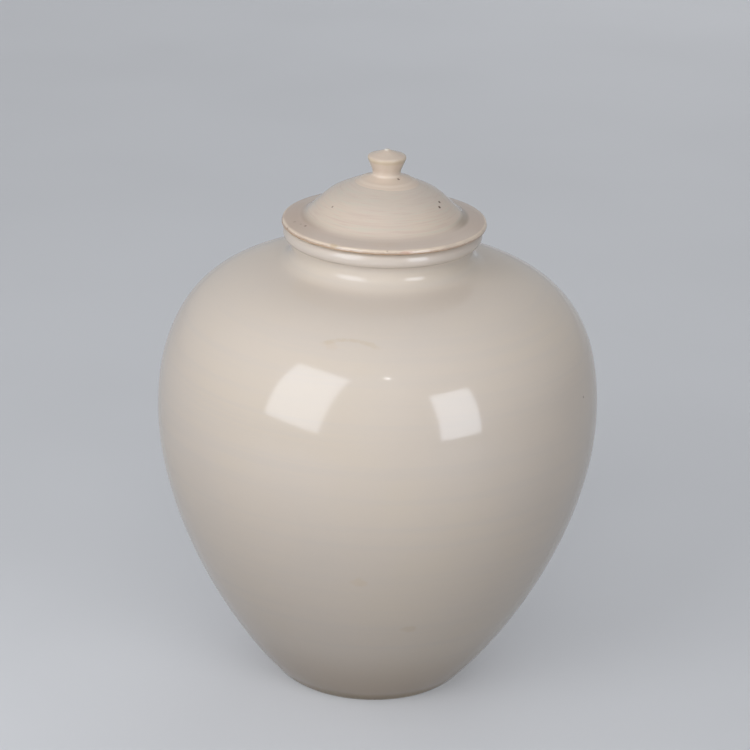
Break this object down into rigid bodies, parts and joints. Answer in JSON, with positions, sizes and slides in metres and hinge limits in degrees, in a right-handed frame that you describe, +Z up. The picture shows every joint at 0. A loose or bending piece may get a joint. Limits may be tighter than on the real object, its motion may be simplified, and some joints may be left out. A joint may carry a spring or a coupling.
{
  "type": "lidded jar",
  "caption": "Glazed porcelain ginger jar: ovoid body with high shoulders, short neck and rolled lip, closed by a lift-off domed lid with a small flared knob.",
  "frame": {"origin": "centre of the foot's resting plane, on the jar's own axis", "axes": "+Z up along the jar's axis; -Y towards the side that the picture shows; the lid lifts along +Z"},
  "size_m": [0.2396, 0.2396, 0.3],
  "materials": {
    "jar_glaze": "glossy cream glaze over white porcelain, bare clay on the foot ring",
    "lid_glaze": "glossy cream glaze, a little pinker than the jar's, worn brown at the rim"
  },
  "bodies": {
    "jar": {"jar_body": "jar_glaze"},
    "lid": {"lid": "lid_glaze", "lid_knob": "lid_glaze"}
  },
  "joints": [
    {"name": "lid_lift", "type": "slide", "parent": "jar", "child": "lid", "axis": [0, 0, 1], "range_m": [0, 0.12]}
  ]
}
